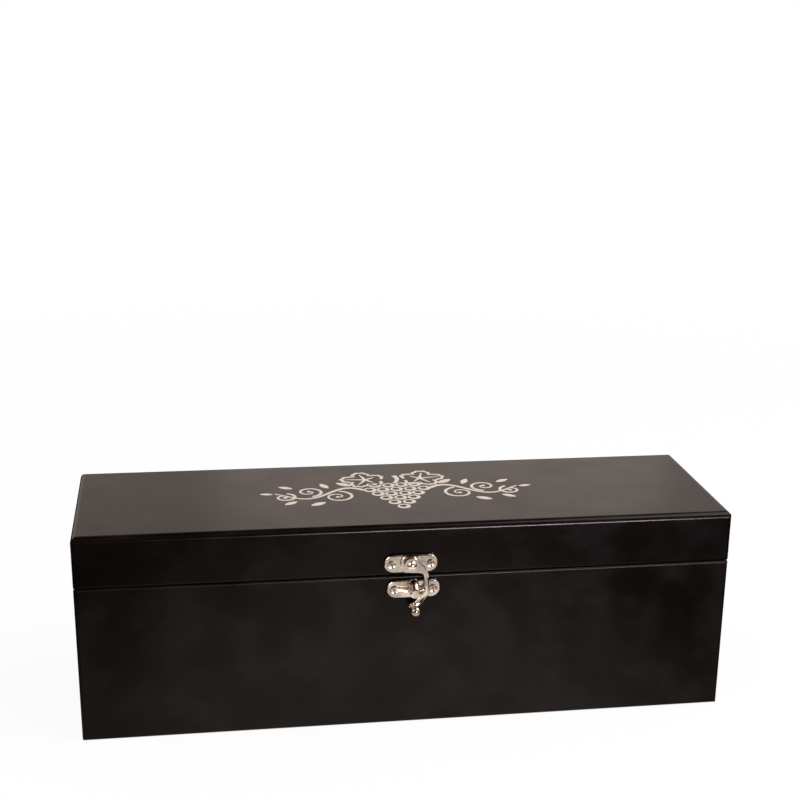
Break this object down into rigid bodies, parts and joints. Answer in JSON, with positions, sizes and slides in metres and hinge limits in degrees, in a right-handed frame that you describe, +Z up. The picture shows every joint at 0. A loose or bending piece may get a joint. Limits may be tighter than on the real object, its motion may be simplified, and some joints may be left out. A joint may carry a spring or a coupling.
{
  "type": "wooden wine box",
  "caption": "Black-lacquered wooden box that lies flat and holds a wine bottle on two rests, with a hinged lid and a swinging horn clasp.",
  "frame": {"origin": "centre of the wooden case's underside, on the surface that the box lies on", "axes": "+X along the front towards the right end seen from the clasp, +Y from the clasp towards the hinges, +Z up"},
  "size_m": [0.355, 0.121, 0.1155],
  "materials": {
    "lacquered_wood": "satin black lacquer",
    "velvet_lining": "dark red short-pile velvet on board",
    "velvet_rest": "dark red short-pile velvet over wood",
    "clasp_nickel": "polished nickel plate",
    "hinge_nickel": "nickel plate",
    "plated_screw": "nickel plate"
  },
  "bodies": {
    "case": {"case_front_board": "lacquered_wood", "case_back_board": "lacquered_wood", "case_left_board": "lacquered_wood", "case_right_board": "lacquered_wood", "case_bottom_board": "lacquered_wood", "case_floor_liner": "velvet_lining", "case_front_liner": "velvet_lining", "case_back_liner": "velvet_lining", "case_left_liner": "velvet_lining", "case_right_liner": "velvet_lining", "body_rest": "velvet_rest", "neck_rest": "velvet_rest", "left_hinge_case_leaf": "hinge_nickel", "right_hinge_case_leaf": "hinge_nickel", "left_hinge_pin": "plated_screw", "right_hinge_pin": "plated_screw", "left_hinge_case_screws": "plated_screw", "right_hinge_case_screws": "plated_screw", "catch_plate": "clasp_nickel", "catch_plate_screws": "plated_screw"},
    "lid": {"lid_front_board": "lacquered_wood", "lid_back_board": "lacquered_wood", "lid_left_board": "lacquered_wood", "lid_right_board": "lacquered_wood", "lid_top_board": "lacquered_wood", "lid_top_liner": "velvet_lining", "lid_front_liner": "velvet_lining", "lid_back_liner": "velvet_lining", "lid_left_liner": "velvet_lining", "lid_right_liner": "velvet_lining", "left_hinge_lid_leaf": "hinge_nickel", "right_hinge_lid_leaf": "hinge_nickel", "left_hinge_lid_screws": "plated_screw", "right_hinge_lid_screws": "plated_screw", "arm_plate": "clasp_nickel", "arm_plate_screws": "plated_screw", "arm_rivet": "clasp_nickel"},
    "clasp_arm": {"clasp_arm": "clasp_nickel"}
  },
  "joints": [
    {"name": "lid_hinge", "type": "hinge", "parent": "case", "child": "lid", "pos_m": [0, 0.0535, 0.08715], "axis": [-1, 0, 0], "range_deg": [0, 100]},
    {"name": "clasp_swing", "type": "hinge", "parent": "lid", "child": "clasp_arm", "pos_m": [-0.001, -0.0591, 0.0945], "axis": [0, -1, 0], "range_deg": [-8, 290]}
  ]
}
